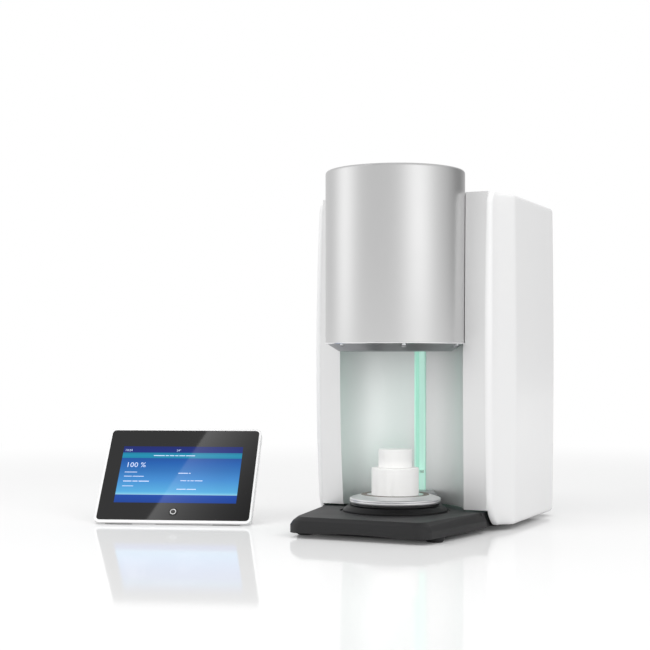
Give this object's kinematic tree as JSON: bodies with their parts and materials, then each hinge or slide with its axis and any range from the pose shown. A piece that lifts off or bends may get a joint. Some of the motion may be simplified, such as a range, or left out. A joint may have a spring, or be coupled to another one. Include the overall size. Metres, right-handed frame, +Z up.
{
  "type": "dental lab furnace",
  "caption": "Bench furnace for dental ceramics: firing drum on a niche column, lift door plate with insulating stones, sloped base and a separate tilted touch panel.",
  "frame": {"origin": "on the bench under the axis of the drum", "axes": "+Z up, -Y out of the niche towards the user, +X to the user's right"},
  "size_m": [0.6159, 0.4338, 0.504],
  "materials": {
    "base_plate": "satin dark grey powder coat",
    "base_feet": "matt",
    "dock_ring": "satin",
    "front_column": "satin light grey",
    "light_guides": "translucent, lit green",
    "drum_shell": "brushed and clear anodised",
    "drum_cap": "satin",
    "drum_floor": "heat-darkened steel",
    "drum_screws": "bright",
    "insulation_jacket": "soft fibre board",
    "muffle": "fired, matt",
    "heating_coil": "copper tube",
    "coil_supports": "matt",
    "thermocouple": "ceramic sheath",
    "left_cover": "white, satin gloss",
    "right_cover": "white, satin gloss",
    "top_cover": "satin white",
    "rear_panel": "zinc grey",
    "connector_plate": "zinc grey",
    "rear_posts": "mill finish",
    "rear_screws": "bright",
    "fan_frame": "matt",
    "fan_guard": "bright wire",
    "mains_inlet": "matt",
    "display_socket": "matt",
    "network_socket": "plated",
    "power_supply": "satin",
    "heat_sink": "extruded",
    "control_board": "solder mask",
    "lift_channel": "pale green in the slot's light",
    "lower_bracket": "milled",
    "upper_bracket": "milled",
    "guide_rods": "hardened and ground",
    "lift_motor": "black",
    "carriage": "milled",
    "lift_nut": "bronze",
    "rod_bushes": "sintered bronze",
    "lift_arm": "dark, satin",
    "door_plate": "satin turned",
    "plate_seal": "ceramic fibre rope",
    "lead_screw": "rolled",
    "lower_stone": "white, matt",
    "upper_stone": "white, matt",
    "fan_rotor": "matt",
    "power_switch": "gloss",
    "fuse_drawer": "matt",
    "display_back": "white",
    "display_glass": "black glass, gloss",
    "display_screen": "lit screen",
    "display_board": "solder mask",
    "display_port": "matt",
    "stand_pin": "bright",
    "display_pads": "matt",
    "display_screws": "bright",
    "display_button": "metal ring",
    "display_stand": "white"
  },
  "bodies": {
    "furnace": {"base_plate": "base_plate", "base_feet": "base_feet", "dock_ring": "dock_ring", "front_column": "front_column", "light_guides": "light_guides", "drum_shell": "drum_shell", "drum_cap": "drum_cap", "drum_floor": "drum_floor", "drum_screws": "drum_screws", "insulation_jacket": "insulation_jacket", "muffle": "muffle", "heating_coil": "heating_coil", "coil_supports": "coil_supports", "thermocouple": "thermocouple", "left_cover": "left_cover", "right_cover": "right_cover", "top_cover": "top_cover", "rear_panel": "rear_panel", "connector_plate": "connector_plate", "rear_posts": "rear_posts", "rear_screws": "rear_screws", "fan_frame": "fan_frame", "fan_guard": "fan_guard", "mains_inlet": "mains_inlet", "display_socket": "display_socket", "network_socket": "network_socket", "power_supply": "power_supply", "heat_sink": "heat_sink", "control_board": "control_board", "lift_channel": "lift_channel", "lower_bracket": "lower_bracket", "upper_bracket": "upper_bracket", "guide_rods": "guide_rods", "lift_motor": "lift_motor"},
    "lift": {"carriage": "carriage", "lift_nut": "lift_nut", "rod_bushes": "rod_bushes", "lift_arm": "lift_arm", "door_plate": "door_plate", "plate_seal": "plate_seal"},
    "lead_screw": {"lead_screw": "lead_screw"},
    "lower_stone": {"lower_stone": "lower_stone"},
    "upper_stone": {"upper_stone": "upper_stone"},
    "fan_rotor": {"fan_rotor": "fan_rotor"},
    "power_switch": {"power_switch": "power_switch"},
    "fuse_drawer": {"fuse_drawer": "fuse_drawer"},
    "touch_panel": {"display_back": "display_back", "display_glass": "display_glass", "display_screen": "display_screen", "display_board": "display_board", "display_port": "display_port", "stand_pin": "stand_pin", "display_pads": "display_pads", "display_screws": "display_screws"},
    "display_button": {"display_button": "display_button"},
    "display_stand": {"display_stand": "display_stand"}
  },
  "joints": [
    {"name": "door_lift", "type": "slide", "parent": "furnace", "child": "lift", "axis": [0, 0, 1], "range_m": [0, 0.2001]},
    {"name": "screw_spin", "type": "hinge", "parent": "furnace", "child": "lead_screw", "pos_m": [0, 0.132, 0.15], "axis": [0, 0, 1], "range_deg": [0, 7210]},
    {"name": "lower_stone_off", "type": "slide", "parent": "lift", "child": "lower_stone", "axis": [0, 0, 1], "range_m": [0, 0.012]},
    {"name": "upper_stone_off", "type": "slide", "parent": "lower_stone", "child": "upper_stone", "axis": [0, 0, 1], "range_m": [0, 0.014]},
    {"name": "fan_spin", "type": "hinge", "parent": "furnace", "child": "fan_rotor", "pos_m": [0, 0.278, 0.38], "axis": [0, 1, 0], "continuous": true},
    {"name": "switch_rock", "type": "hinge", "parent": "furnace", "child": "power_switch", "pos_m": [-0.082, 0.2904, 0.087], "axis": [1, 0, 0], "range_deg": [-16, 0]},
    {"name": "fuse_drawer_pull", "type": "slide", "parent": "furnace", "child": "fuse_drawer", "axis": [0, 1, 0], "range_m": [0, 0.018]},
    {"name": "panel_lift_off", "type": "slide", "parent": "furnace", "child": "touch_panel", "axis": [0, 0, 1], "range_m": [0, 0.03]},
    {"name": "stand_fold", "type": "hinge", "parent": "touch_panel", "child": "display_stand", "pos_m": [-0.34789, 0.00266, 0.08312], "axis": [0.9444, 0.3289, 0], "range_deg": [-46.7, 0]},
    {"name": "display_button_press", "type": "slide", "parent": "touch_panel", "child": "display_button", "axis": [-0.2567, 0.737, -0.6252], "range_m": [0, 0.001], "stiffness_N_per_m": 400}
  ],
  "couplings": [
    {"joint": "screw_spin", "follows": "door_lift", "rad_per_m": 628.32}
  ]
}
